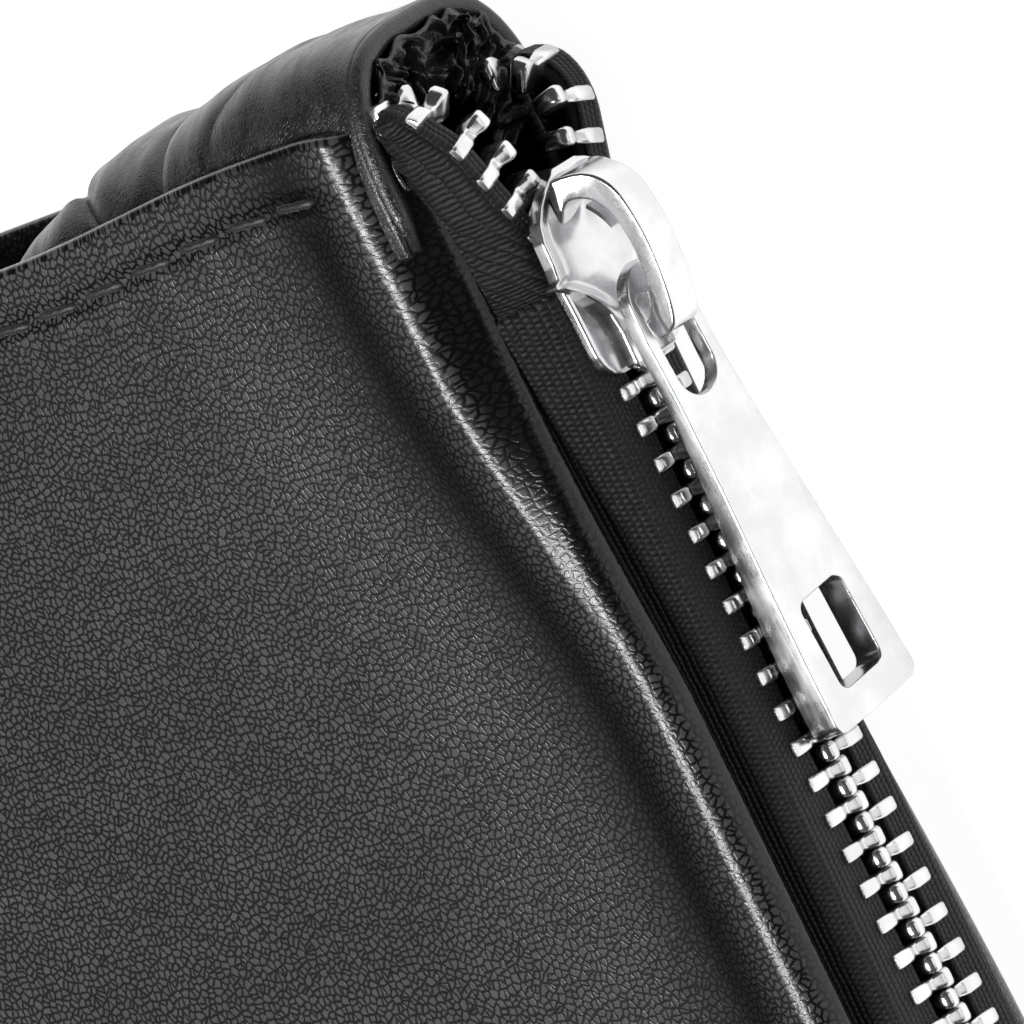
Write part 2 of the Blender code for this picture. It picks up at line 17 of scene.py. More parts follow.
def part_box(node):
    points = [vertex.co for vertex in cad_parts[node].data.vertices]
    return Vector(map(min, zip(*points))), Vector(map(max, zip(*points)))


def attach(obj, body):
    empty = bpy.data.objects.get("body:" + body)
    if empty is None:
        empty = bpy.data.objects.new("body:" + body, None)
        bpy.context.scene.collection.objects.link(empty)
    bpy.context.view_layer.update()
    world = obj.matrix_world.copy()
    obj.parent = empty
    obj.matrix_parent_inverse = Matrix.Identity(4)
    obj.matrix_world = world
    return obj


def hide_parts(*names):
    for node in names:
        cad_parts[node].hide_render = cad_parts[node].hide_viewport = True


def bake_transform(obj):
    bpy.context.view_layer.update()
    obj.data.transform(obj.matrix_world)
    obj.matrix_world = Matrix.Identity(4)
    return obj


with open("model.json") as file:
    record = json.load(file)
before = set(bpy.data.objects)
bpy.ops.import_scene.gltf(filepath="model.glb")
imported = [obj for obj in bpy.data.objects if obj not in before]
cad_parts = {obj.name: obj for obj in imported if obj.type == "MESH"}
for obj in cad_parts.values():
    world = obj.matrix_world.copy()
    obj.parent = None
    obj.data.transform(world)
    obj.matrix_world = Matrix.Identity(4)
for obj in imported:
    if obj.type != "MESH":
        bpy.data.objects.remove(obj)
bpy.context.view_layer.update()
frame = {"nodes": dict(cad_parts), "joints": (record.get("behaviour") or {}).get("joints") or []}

MM = 0.001
REAR, FRONT = "rear_shell", "front_shell"

# Sizes read from the frame
FRONT_LOW, FRONT_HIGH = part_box("front_panel")
REAR_LOW, REAR_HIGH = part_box("rear_panel")
ROW_LOW, ROW_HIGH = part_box("front_tooth_row")
PULLER_LOW, PULLER_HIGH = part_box("puller")
SLIDER_LOW, SLIDER_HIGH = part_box("slider_body")
STOP_LOW, STOP_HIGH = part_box("bottom_stop")
JOINTS = {joint["name"]: joint for joint in frame["joints"]}
THICK = FRONT_HIGH.z
HALF_LENGTH = FRONT_HIGH.x
ZIP_Y = FRONT_LOW.y
MID_Z = THICK / 2
SPINE_Y = FRONT_HIGH.y - THICK / 2
CHAIN_Z = (SLIDER_LOW.z + SLIDER_HIGH.z) / 2
CHAIN_Y = (STOP_LOW.y + STOP_HIGH.y) / 2
SLIDER_X = (SLIDER_LOW.x + SLIDER_HIGH.x) / 2
LEATHER = 1.15 * MM


def smooth(value):
    value = np.clip(value, 0, 1)
    return value * value * (3 - 2 * value)


def bell(value, centre, width):
    return np.exp(-(((value - centre) / width) ** 2))


# Mesh building


def new_object(name, verts, faces, material, uvs=None, sharp=None):
    mesh = bpy.data.meshes.new(name)
    mesh.from_pydata([tuple(v) for v in verts], [], [tuple(f) for f in faces])
    mesh.validate()
    if uvs is not None:
        layer = mesh.uv_layers.new(name="Length")
        loops = np.zeros(len(mesh.loops), np.int32)
        mesh.loops.foreach_get("vertex_index", loops)
        layer.data.foreach_set("uv", np.asarray(uvs, np.float32)[loops].ravel())
    mesh.materials.append(material)
    mesh.shade_smooth()
    if sharp:
        mesh.set_sharp_from_angle(angle=radians(sharp))
    obj = bpy.data.objects.new(name, mesh)
    bpy.context.scene.collection.objects.link(obj)
    return obj


def grid_normals(grid):
    along = np.gradient(grid, axis=0)
    across = np.gradient(grid, axis=1)
    normal = np.cross(along, across)
    return normal / np.maximum(np.linalg.norm(normal, axis=2, keepdims=True), 1e-12)


def grid_lengths(grid):
    """Distance along each direction of the grid at its middle, for texture coordinates."""
    mid_row = grid[grid.shape[0] // 2]
    mid_column = grid[:, grid.shape[1] // 2]
    u = np.concatenate([[0], np.cumsum(np.linalg.norm(np.diff(mid_column, axis=0), axis=1))])
    v = np.concatenate([[0], np.cumsum(np.linalg.norm(np.diff(mid_row, axis=0), axis=1))])
    return np.stack(np.meshgrid(u, v, indexing="ij"), axis=2)


RIM_STEPS = 3


def shell(name, grid, thickness, material, rim=0.8, flip=False):
    """A closed sheet of even thickness under the grid's surface. rim is how round its edges are."""
    normal = grid_normals(grid) * (-1 if flip else 1)
    inner = grid - normal * thickness
    rows, columns = grid.shape[:2]
    lengths = grid_lengths(grid)
    loop = [(i, 0) for i in range(rows)] + [(rows - 1, j) for j in range(1, columns)]
    loop += [(i, columns - 1) for i in range(rows - 2, -1, -1)] + [(0, j) for j in range(columns - 2, 0, -1)]
    index = np.arange(rows * columns).reshape(rows, columns)
    verts = [grid.reshape(-1, 3), inner.reshape(-1, 3)]
    uvs = [lengths.reshape(-1, 2), lengths.reshape(-1, 2)]
    inner_index = index + rows * columns
    loop_i = np.array([p[0] for p in loop])
    loop_j = np.array([p[1] for p in loop])
    outward_i = np.where(loop_i == 0, -1, np.where(loop_i == rows - 1, 1, 0))
    outward_j = np.where(loop_j == 0, -1, np.where(loop_j == columns - 1, 1, 0))
    neighbour = grid[loop_i - outward_i, loop_j - outward_j]
    border = grid[loop_i, loop_j]
    away = border - neighbour
    away /= np.maximum(np.linalg.norm(away, axis=1, keepdims=True), 1e-12)
    up = normal[loop_i, loop_j]
    middle = (border + inner[loop_i, loop_j]) / 2
    rings = [index[loop_i, loop_j]]
    start = 2 * rows * columns
    for k in range(1, RIM_STEPS + 1):
        angle = pi * k / (RIM_STEPS + 1)
        ring = middle + up * thickness / 2 * cos(angle) + away * thickness / 2 * rim * sin(angle)
        verts.append(ring)
        uvs.append(lengths[loop_i, loop_j])
        rings.append(np.arange(start, start + len(loop)))
        start += len(loop)
    rings.append(inner_index[loop_i, loop_j])
    a, b = index[:-1, :-1].ravel(), index[1:, :-1].ravel()
    c, d = index[1:, 1:].ravel(), index[:-1, 1:].ravel()
    top = np.stack([a, b, c, d], 1)
    offset = rows * columns
    bottom = np.stack([d, c, b, a], 1) + offset
    sides = []
    for low, high in zip(rings[1:], rings[:-1]):
        nxt_low, nxt_high = np.roll(low, -1), np.roll(high, -1)
        sides.append(np.stack([high, low, nxt_low, nxt_high], 1))
    faces = np.concatenate([top, bottom, *sides])
    if flip:
        faces = faces[:, ::-1]
    return new_object(name, np.concatenate(verts), faces.tolist(), material, np.concatenate(uvs))


class Batch:
    """Collects many small closed lofts in one mesh."""

    def __init__(self):
        self.verts, self.faces, self.uvs = [], [], []

    def loft(self, rings):
        """Joins rings of equal size and caps both ends."""
        start, size, count = len(self.verts), len(rings[0]), len(rings)
        for i, ring in enumerate(rings):
            self.verts += [tuple(p) for p in ring]
            self.uvs += [(i / count, j / size) for j in range(size)]
        for i in range(count - 1):
            a, b = start + i * size, start + (i + 1) * size
            for j in range(size):
                k = (j + 1) % size
                self.faces.append((a + j, a + k, b + k, b + j))
        last = start + (count - 1) * size
        self.faces.append(tuple(start + j for j in reversed(range(size))))
        self.faces.append(tuple(last + j for j in range(size)))

    def build(self, name, material, sharp=None):
        return new_object(name, self.verts, self.faces, material, self.uvs, sharp)


def rounded_section(half_u, half_v, round_share=0.45, steps=3):
    """A rounded rectangle as (u, v) pairs, anticlockwise."""
    radius = min(half_u, half_v) * round_share
    points = []
    for quarter, (su, sv) in enumerate(((1, 1), (-1, 1), (-1, -1), (1, -1))):
        for k in range(steps + 1):
            angle = (quarter + k / steps) * pi / 2
            u = su * (half_u - radius) + radius * cos(angle)
            v = sv * (half_v - radius) + radius * sin(angle)
            points.append((u, v))
    return points


def thread_tube(batch, points, radius, sides=8, twist=0.0, ply=0.0):
    """A round thread along points. ply gives its section three lobes, which twist along it."""
    points = np.array(points)
    tangents = np.gradient(points, axis=0)
    rings = []
    side = np.cross(tangents[0], (0.3, 0.2, 1.0))
    for i, (p, t) in enumerate(zip(points, tangents)):
        t = t / np.linalg.norm(t)
        side = side - t * (side @ t)
        side = side / np.linalg.norm(side)
        other = np.cross(t, side)
        end = min(i, len(points) - 1 - i)
        r = radius * (0.45 if end == 0 else 0.85 if end == 1 else 1.0)
        ring = []
        for k in range(sides):
            angle = 2 * pi * k / sides
            lobe = 1 + ply * cos(3 * (angle + twist * i))
            ring.append(p + (side * cos(angle) + other * sin(angle)) * r * lobe)
        rings.append(ring)
    batch.loft(rings)


# Materials


class Surface:
    """A Principled material with small helpers for its procedural nodes."""

    def __init__(self, name, colour, roughness, metallic=0.0, **constants):
        self.material = bpy.data.materials.new(name)
        self.material.use_nodes = True
        self.tree = self.material.node_tree
        self.shader = self.tree.nodes["Principled BSDF"]
        self.shader.inputs["Base Color"].default_value = (*colour, 1)
        self.shader.inputs["Roughness"].default_value = roughness
        self.shader.inputs["Metallic"].default_value = metallic
        for socket, value in constants.items():
            self.shader.inputs[socket.replace("_", " ")].default_value = value
        self.coordinates = self.tree.nodes.new("ShaderNodeTexCoord")

    def node(self, kind, settings=None, **inputs):
        made = self.tree.nodes.new("ShaderNode" + kind)
        for key, value in (settings or {}).items():
            setattr(made, key, value)
        for key, value in inputs.items():
            socket = made.inputs[int(key[1:])] if key[0] == "i" and key[1:].isdigit() else made.inputs[key]
            if isinstance(value, bpy.types.NodeSocket):
                self.tree.links.new(value, socket)
            else:
                socket.default_value = value
        return made

    def place(self, scale=(1, 1, 1), source="Object"):
        """Coordinates in metres, stretched by scale."""
        return self.node("Mapping", Vector=self.coordinates.outputs[source], Scale=scale).outputs[0]

    def noise(self, where, scale, detail=3.0, rough=0.55):
        return self.node("TexNoise", Vector=where, Scale=scale, Detail=detail, Roughness=rough).outputs["Fac"]

    def cells(self, where, scale, dimensions="3D"):
        """Distance from the walls between irregular cells."""
        settings = {"voronoi_dimensions": dimensions, "feature": "DISTANCE_TO_EDGE"}
        return self.node("TexVoronoi", settings, Vector=where, Scale=scale).outputs["Distance"]

    def maths(self, operation, a, b=0.0, c=0.0):
        return self.node("Math", {"operation": operation}, i0=a, i1=b, i2=c).outputs[0]

    def span(self, value, low, high, to_low=0.0, to_high=1.0, kind="SMOOTHSTEP"):
        return self.node(
            "MapRange", {"interpolation_type": kind}, i0=value, i1=low, i2=high, i3=to_low, i4=to_high
        ).outputs[0]

    def warp(self, where, scale, amount):
        """Coordinates pushed about by a coloured noise."""
        push = self.node("TexNoise", Vector=where, Scale=scale, Detail=2.0).outputs["Color"]
        centred = self.node("VectorMath", {"operation": "SUBTRACT"}, i0=push, i1=(0.5, 0.5, 0.5)).outputs[0]
        scaled = self.node("VectorMath", {"operation": "SCALE"}, i0=centred, Scale=amount).outputs[0]
        return self.node("VectorMath", {"operation": "ADD"}, i0=where, i1=scaled).outputs[0]

    def colour(self, factor, low, high):
        mix = self.node("Mix", {"data_type": "RGBA"}, i0=factor, i6=(*low, 1), i7=(*high, 1))
        self.tree.links.new(mix.outputs[2], self.shader.inputs["Base Color"])

    def roughness(self, value):
        self.tree.links.new(value, self.shader.inputs["Roughness"])

    def bump(self, height, distance, strength=1.0):
        made = self.node("Bump", Height=height, Distance=distance, Strength=strength)
        self.tree.links.new(made.outputs[0], self.shader.inputs["Normal"])


PEBBLES_PER_METRE = 1900
PORES_PER_METRE = 4200
PEBBLE_RELIEF = 0.012 * MM
# Colour of the creases: partly the grain's own dark, partly painted shade in the creases
CREASE_GRAIN_AND_SHADE_BLACK = (0.0002, 0.0002, 0.0002)
PEBBLE_GREY = (0.068, 0.068, 0.068)


def pebbled_leather():
    """Black leather with a fine pebble grain: small raised cells between dark, broken creases, their
    near-black colour partly the grain's own and partly painted shade.
    """
    s = Surface("pebbled_leather", (0.02, 0.02, 0.02), 0.25, Specular_IOR_Level=0.36)
    where = s.place()
    flat = s.node("UVMap", {"uv_map": "Length"}).outputs[0]
    warped = s.warp(s.warp(flat, 1200, 0.00034), 4800, 0.00016)
    creases = s.span(s.cells(warped, PEBBLES_PER_METRE, "2D"), 0.06, 0.27)
    fine = s.span(s.cells(s.warp(flat, 3600, 0.00012), PORES_PER_METRE, "2D"), 0.0, 0.22)
    broad = s.noise(where, 120, 3)
    patch = s.span(s.noise(where, 1100, 3), 0.35, 0.65)
    # Painted shade mask beside the front's zip ridge, read from the cover's vertices
    painted_ridge_shade = s.node("Attribute", {"attribute_name": "painted_ridge_shade"}).outputs["Fac"]
    grain = s.maths("MULTIPLY", creases, s.maths("MULTIPLY_ADD", fine, 0.18, 0.82))
    height = s.maths("MULTIPLY_ADD", s.noise(where, 8000, 3), 0.12, grain)
    height = s.maths("MULTIPLY_ADD", patch, 0.2, height)
    s.bump(height, PEBBLE_RELIEF, 1.0)
    tone = s.maths("MULTIPLY", grain, s.maths("MULTIPLY_ADD", patch, 0.15, 0.85))
    tone = s.maths("MULTIPLY", tone, s.span(broad, 0.3, 0.7, 0.8, 1.0))
    # Painted shade: the colour darkens by up to 90% in the trough behind the ridge and on the shoulder
    # outside it
    tone = s.maths("MULTIPLY", tone, s.maths("MULTIPLY_ADD", painted_ridge_shade, -0.90, 1.0))
    # Near-black creases, partly grain and partly painted shade, between grey tops
    s.colour(tone, CREASE_GRAIN_AND_SHADE_BLACK, PEBBLE_GREY)
    tops = s.span(broad, 0.2, 0.8, 0.225, 0.25)
    gloss = s.maths("MULTIPLY_ADD", s.maths("SUBTRACT", 1.0, grain), 0.05, tops)
    s.roughness(s.maths("MULTIPLY_ADD", painted_ridge_shade, -0.04, gloss))
    return s.material


def soft_leather(name="soft_leather", colour=(0.018, 0.018, 0.018), wrinkle=0.5, roughness=0.34):
    """Thin smooth leather with hair-fine creases."""
    s = Surface(name, colour, roughness, Specular_IOR_Level=0.6)
    where = s.place()
    creases = s.span(s.cells(s.warp(s.warp(where, 900, 0.0007), 4000, 0.00015), 3600), 0.0, 0.16)
    lines = s.noise(s.place((1, 3.2, 1)), 420, 4, 0.6)
    height = s.maths("MULTIPLY_ADD", lines, wrinkle, s.maths("MULTIPLY", creases, 0.16))
    s.bump(height, 0.00012, 0.7)
    s.colour(s.maths("MULTIPLY", creases, s.span(lines, 0.3, 0.7, 0.4, 1.0)), (0.003, 0.003, 0.003), colour)
    s.roughness(s.span(lines, 0.25, 0.75, roughness - 0.07, roughness + 0.12))
    return s.material


def napped_cloth(name, colour):
    """Matt cloth with a fine nap."""
    s = Surface(name, colour, 0.75, Sheen_Weight=0.25, Sheen_Roughness=0.5, Specular_IOR_Level=0.3)
    height = s.maths("MULTIPLY", s.noise(s.place(), 7000, 2), 0.7)
    s.bump(height, 0.00011, 0.8)
    dark = tuple(c * 0.25 for c in colour)
    s.colour(s.span(height, -1.0, 1.4), dark, colour)
    return s.material


def weave_axes(s, pitch):
    """Distances along and across a woven sheet, counted in threads."""
    split = s.node("SeparateXYZ", i0=s.node("UVMap", {"uv_map": "Length"}).outputs[0])
    return tuple(s.maths("DIVIDE", split.outputs[k], pitch) for k in (0, 1))


THREAD_PITCH = 0.4 * MM


def zip_tape():
    """Black polyester tape: narrow ribs along the zip, broken into short floats like brickwork."""
    shine = {"Sheen_Weight": 0.05, "Sheen_Roughness": 0.4, "Specular_IOR_Level": 0.28}
    s = Surface("zip_tape_weave", (0.01, 0.01, 0.01), 0.5, **shine)
    along, across = weave_axes(s, THREAD_PITCH)
    wander = s.maths("MULTIPLY_ADD", s.noise(s.place(), 900, 2), 0.8, -0.4)
    across = s.maths("ADD", across, s.maths("MULTIPLY", wander, 0.55))
    along = s.maths("ADD", along, wander)
    ribs = s.maths("ABSOLUTE", s.maths("SINE", s.maths("MULTIPLY", across, pi)))
    shifted = s.maths("MULTIPLY_ADD", s.maths("FLOOR", across), 0.5, along)
    floats = s.maths("ABSOLUTE", s.maths("SINE", s.maths("MULTIPLY", shifted, pi)))
    height = s.maths("MULTIPLY", s.maths("POWER", ribs, 0.6), s.maths("MULTIPLY_ADD", floats, 0.75, 0.25))
    fuzz = s.noise(s.place(), 5200, 4, 0.7)
    height = s.maths("MULTIPLY_ADD", fuzz, 0.55, height)
    s.bump(height, 0.00014, 1.0)
    s.colour(s.span(height, 0.35, 1.25), (0.0003, 0.0003, 0.0003), (0.011, 0.011, 0.011))
    return s.material


def metal(name, roughness, relief, streak=(1, 1, 1)):
    """Plated metal with fine marks. A small number in streak stretches them along that axis."""
    s = Surface(name, (0.80, 0.80, 0.81), roughness, 1.0)
    marks = s.noise(s.place(streak), 2600, 4, 0.65)
    spots = s.noise(s.place(), 350, 3)
    mottle = s.maths("MULTIPLY_ADD", marks, 0.6, spots)
    s.roughness(s.span(mottle, 0.5, 1.1, roughness * 0.75, roughness * 1.35))
    s.bump(marks, relief, 0.5)
    s.colour(s.span(spots, 0.3, 0.7), (0.56, 0.56, 0.57), (0.66, 0.66, 0.67))
    return s.material


def thread_material():
    s = Surface("waxed_thread", (0.012, 0.012, 0.012), 0.5, Sheen_Weight=0.2, Sheen_Roughness=0.4)
    fuzz = s.noise(s.place(), 9000, 3)
    s.bump(fuzz, 0.00004, 0.7)
    s.colour(s.span(fuzz, 0.3, 0.7), (0.004, 0.004, 0.004), (0.022, 0.022, 0.022))
    return s.material


PEBBLED = pebbled_leather()
SOFT = soft_leather()
INNER = soft_leather("inner_leather", (0.10, 0.10, 0.104), 0.25, 0.5)
LINING = napped_cloth("lining_cloth", (0.22, 0.22, 0.23))
GATHERED = soft_leather("gathered_lining", (0.016, 0.016, 0.016), 1.4, 0.24)
TAPE = zip_tape()
TEETH = metal("tooth_metal", 0.20, 0.000006)
POLISHED = metal("polished_metal", 0.21, 0.000009)
BRUSHED = metal("brushed_metal", 0.27, 0.000011, (0.05, 1, 1))
THREAD = thread_material()


# Leather panels: one cover from the front's zip edge, round the spine, to the rear's zip edge


EDGE_STITCH = 3.4 * MM
STITCH_PITCH = 4.6 * MM
STITCH_RADIUS = 0.30 * MM
CREST_RADIUS = 2.4 * MM
SHOULDER_LENGTH = 2.9 * MM
SHOULDER_TILT = radians(46)
EDGE_RADIUS = 2.1 * MM
ROLL_STEPS = 26
# The front's zip edge changes from a plain roll to a ridge and shoulder over this stretch of |x|
FRONT_EASE = (52 * MM, 33 * MM)


def end_reach(y):
    """How far the panel's short edge swells past its nominal end, at each height of the wallet."""
    depth = y - ZIP_Y
    swell = smooth(depth / (9 * MM)) * (1.4 - 1.05 * smooth((depth - 15 * MM) / (22 * MM)))
    return swell * MM


def end_ease(x, start, length):
    return float(smooth((abs(x) - start) / length))


def front_roll(x):
    """Profile of the rolled zip edge, from the flat panel outwards, as (distance out, drop) pairs.

    Near the wallet's ends the crest moves inwards and leaves a sloping shoulder outside it.
    """
    ease = end_ease(x, *FRONT_EASE)
    tilt_end = SHOULDER_TILT * ease
    crest = CREST_RADIUS * tilt_end
    shoulder = SHOULDER_LENGTH * ease
    edge = EDGE_RADIUS * (radians(90 - 16 * ease) - tilt_end)
    total = crest + shoulder + edge
    out, drop, made = 0.0, 0.0, [(0.0, 0.0)]
    for k in range(ROLL_STEPS):
        run = (k + 0.5) / ROLL_STEPS * total
        if run < crest:
            tilt = run / CREST_RADIUS
        elif run < crest + shoulder:
            tilt = tilt_end
        else:
            tilt = tilt_end + (run - crest - shoulder) / EDGE_RADIUS
        out += cos(tilt) * total / ROLL_STEPS
        drop += sin(tilt) * total / ROLL_STEPS
        made.append((out, drop))
    return made


def front_edge_y(x):
    return ZIP_Y - 0.15 * MM + 2.7 * MM * end_ease(x, *FRONT_EASE)


def crest_y(x):
    return front_edge_y(x) + front_roll(x)[-1][0]


def front_relief(x, y, crest):
    """Height of the front panel's dents: a trough beside the ridge, the sunk seam and slow waves."""
    ease = np.vectorize(end_ease)(x, 40 * MM, 40 * MM)
    inset = (HALF_LENGTH + end_reach(y)) - np.abs(x)
    middle = crest + 6.0 * MM
    width = np.where(y < middle, 3.6, 11.0) * MM
    trough = -(0.82 - 0.10 * ease) * MM * bell(y, middle, width) * smooth((inset + 2 * MM) / (9 * MM))
    slow = np.sin(x / (17 * MM) + 1.2) * np.sin(y / (11 * MM) + 0.6 * np.sin(x / (23 * MM)))
    quick = np.sin((x + y) / (6.5 * MM)) * np.cos((x - 0.6 * y) / (8.5 * MM))
    waves = (0.08 * slow + 0.03 * quick) * MM * smooth(inset / (6 * MM))
    past_corner = smooth((y - ZIP_Y - 4 * MM) / (6 * MM))
    channel = -0.30 * MM * bell(inset, EDGE_STITCH, 0.55 * MM) * past_corner
    pull = np.sin(2 * pi * (y + 2 * MM) / STITCH_PITCH)
    pucker = 0.05 * MM * pull * bell(inset, EDGE_STITCH + 0.9 * MM, 1.2 * MM)
    border = 0.06 * MM * bell(inset, 1.6 * MM, 0.9 * MM)
    fade = smooth((SPINE_Y - y) / (12 * MM)) * smooth((y - crest + 0.5 * MM) / (3 * MM))
    ridge = 0.07 * MM * np.sin(x / (2.3 * MM)) * bell(y, crest, 2.5 * MM) * ease
    return (trough + waves + channel + pucker + border) * fade + ridge


def dense(low, high, count, edge, edge_count):
    """Stations from low to high, edge_count of them within edge of each end."""
    ends = edge * np.linspace(0, 1, edge_count)
    middle = np.linspace(low + edge, high - edge, count)[1:-1]
    return np.concatenate([low + ends, middle, (high - ends)[::-1]])


def rear_edge(x):
    """The rear panel's rounded zip edge: where it ends, and its width and height."""
    ease = end_ease(x, 20 * MM, 50 * MM)
    return ZIP_Y + 0.5 * MM + 1.7 * MM * ease, 2.7 * MM + 3.0 * MM * ease, 3.1 * MM + 0.9 * MM * ease


def cover_grid():
    stations = dense(-HALF_LENGTH, HALF_LENGTH, 150, 6.5 * MM, 34)
    columns = []
    for x in stations:
        crest = crest_y(x)
        roll = front_roll(x)[::-1]
        y = np.array([crest - out for out, _ in roll])
        z = np.array([THICK - drop for _, drop in roll])
        flat_y = np.linspace(crest, SPINE_Y, 130)[1:-1]
        y, z = np.append(y, flat_y), np.append(z, np.full(len(flat_y), THICK))
        round_spine = np.linspace(pi / 2, -pi / 2, 26)
        y = np.append(y, SPINE_Y + THICK / 2 * np.cos(round_spine))
        z = np.append(z, MID_Z + THICK / 2 * np.sin(round_spine))
        rear_out, wide, tall = rear_edge(x)
        flat_y = np.linspace(SPINE_Y, rear_out + wide, 60)[1:-1]
        y, z = np.append(y, flat_y), np.append(z, np.zeros(len(flat_y)))
        turn = np.linspace(0, pi / 2, 14)
        y = np.append(y, rear_out + wide * (1 - np.sin(turn)))
        z = np.append(z, tall * (1 - np.cos(turn)))
        share = x / HALF_LENGTH
        upper = z > MID_Z
        px = x + share ** 31 * end_reach(y) * np.where(upper, 1, 0.6)
        z = z + np.where(upper, front_relief(px, y, crest), 0)
        columns.append(np.stack([px, y, z], 1))
    return np.array(columns)


def paint(obj, name, value_at):
    """Stores a number at each vertex for the material to read."""
    layer = obj.data.attributes.new(name, "FLOAT", "POINT")
    layer.data.foreach_set("value", [value_at(*v.co) for v in obj.data.vertices])


def painted_ridge_shade_at(x, y, z):
    """How much painted shade the leather gets, from 0 to 1: a dark band in the trough behind the ridge, and
    on the shoulder outside it.
    """
    if z < MID_Z:
        return 0.0
    crest = crest_y(x)
    middle = crest + 3.4 * MM
    inner = bell(y, middle, 2.6 * MM if y < middle else 4.6 * MM)
    outer = float(smooth((crest - 1.2 * MM - y) / (1.0 * MM)))
    return float(max(inner, outer))


def make_cover():
    cover = shell("leather_cover", cover_grid(), LEATHER, PEBBLED, rim=0.75, flip=False)
    # Stores the painted shade beside the zip ridge for the leather's colour
    paint(cover, "painted_ridge_shade", painted_ridge_shade_at)
    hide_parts("front_panel", "rear_panel")
    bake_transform(cover)


def stitch_run(batch, side, face):
    """Slanted twisted stitches along one short edge of one panel."""
    y = SPINE_Y - 2 * MM
    while y - STITCH_PITCH > crest_y(HALF_LENGTH) + 1 * MM:
        points = []
        length = STITCH_PITCH * 0.80
        for k in range(15):
            share = k / 14
            dip = 0.42 * MM * (2 * share - 1) ** 4 + 0.06 * MM
            py = y - length * share
            inset = EDGE_STITCH + 0.30 * MM * (share - 0.5)
            px = side * (HALF_LENGTH + float(end_reach(py)) * (1 if face > 0 else 0.6) - inset)
            if face > 0:
                pz = THICK + float(front_relief(px, py, crest_y(px))) + 0.17 * MM - dip
            else:
                pz = -0.05 * MM + dip
            points.append((px, py, pz))
        thread_tube(batch, points, STITCH_RADIUS, 12, 0.55, 0.16)
        y -= STITCH_PITCH


def make_stitches():
    for face, body, name in ((1, FRONT, "front"), (-1, REAR, "rear")):
        batch = Batch()
        for side in (1, -1):
            stitch_run(batch, side, face)
        stitches = batch.build(f"{name}_panel_stitches", THREAD)
        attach(stitches, body)


# Main zip


PITCH = 2.5 * MM
FIRST_TOOTH = 0.15 * MM
ROW_START = ROW_LOW.x
SPLIT_START = 79.5 * MM
SPLIT_LENGTH = 3 * MM
SPLIT_ANGLE = radians(20)
REJOIN = {1: (93.8 * MM, 96.5 * MM), -1: (90.8 * MM, 93.8 * MM)}
TURN_START = {1: 92.1 * MM, -1: 90.6 * MM}
TURN_RADIUS = 3.4 * MM
TURN_ANGLE = radians(86)
ROW_END = 101.5 * MM
STEP = 0.1 * MM


def chain_stations(side):
    """(place, spread, turn) of one row every STEP, out to the turned-in end."""
    x, inward, apart = ROW_START - 4 * MM, 0.0, 0.0
    made = []
    for k in range(int((ROW_END + 4 * MM - x) / STEP)):
        run = ROW_START - 4 * MM + k * STEP
        spread = SPLIT_ANGLE * float(smooth((run - SPLIT_START) / SPLIT_LENGTH))
        spread *= 1 - float(smooth((run - REJOIN[side][0]) / (REJOIN[side][1] - REJOIN[side][0])))
        turn = min(max((run - TURN_START[side]) / TURN_RADIUS, 0), TURN_ANGLE)
        made.append(((x, inward, apart), spread, turn))
        x += STEP * cos(turn) * cos(spread)
        inward += STEP * sin(turn)
        apart += STEP * cos(turn) * sin(spread)
    return made


STATIONS = {side: chain_stations(side) for side in (1, -1)}


def chain_frame(run, side):
    """Origin, direction along the row, direction to the other row, and outward direction."""
    k = (run - ROW_START + 4 * MM) / STEP
    (x, inward, apart), spread, turn = STATIONS[side][min(max(int(round(k)), 0), len(STATIONS[side]) - 1)]
    origin = np.array((x, CHAIN_Y + inward, CHAIN_Z + side * apart))
    to_other = np.array((sin(spread), 0, -side * cos(spread)))
    outward = np.array((sin(turn) * cos(spread), -cos(turn), side * sin(turn) * sin(spread)))
    along = np.array((cos(turn) * cos(spread), sin(turn), side * cos(turn) * sin(spread)))
    return origin, along, to_other, outward


# Stations of a tooth, in mm: place across the chain, half width along it, outer and inner height
TOOTH = (
    (-3.15, 0.42, 0.75, 0.75), (-3.08, 0.50, 1.00, 1.00), (-2.80, 0.54, 1.12, 1.10),
    (-1.75, 0.54, 1.15, 1.10), (-1.40, 0.50, 1.00, 0.95), (-1.00, 0.45, 0.80, 0.75),
    (-0.65, 0.48, 0.90, 0.75), (-0.30, 0.58, 1.25, 0.85), (0.05, 0.64, 1.42, 0.95),
    (0.40, 0.64, 1.42, 0.95), (0.66, 0.56, 1.22, 0.85), (0.82, 0.42, 0.90, 0.65), (0.90, 0.20, 0.45, 0.35),
)


def add_tooth(batch, run, side):
    origin, along, to_other, outward = chain_frame(run, side)
    rings = []
    for across, half, outer, inner in TOOTH:
        centre = origin + to_other * across * MM + outward * (outer - inner) / 2 * MM
        section = rounded_section(half * MM, (outer + inner) / 2 * MM, 0.5, 3)
        rings.append([centre + along * a * side + outward * b for a, b in section])
    batch.loft(rings)


def make_teeth(name, side, offset, body, *nodes):
    """One row of teeth. offset is half a pitch for the row whose teeth fall between the other's."""
    batch = Batch()
    run = ROW_START + offset + FIRST_TOOTH
    while run < ROW_END - PITCH / 2:
        add_tooth(batch, run, side)
        run += PITCH
    teeth = batch.build(name, TEETH, 40)
    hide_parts(*nodes)
    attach(teeth, body)


TAPE_THICK = 0.5 * MM
TAPE_LIFT = 0.25 * MM
TAPE_NEAR = 1.75
TAPE_FAR = {1: 8.4, -1: 6.9}
TAPE_WAVES_START = 82 * MM
CORD_PLACE = 2.15 * MM
CORD_RADIUS = 0.72 * MM
UNDER_LEATHER = LEATHER + 0.25 * MM


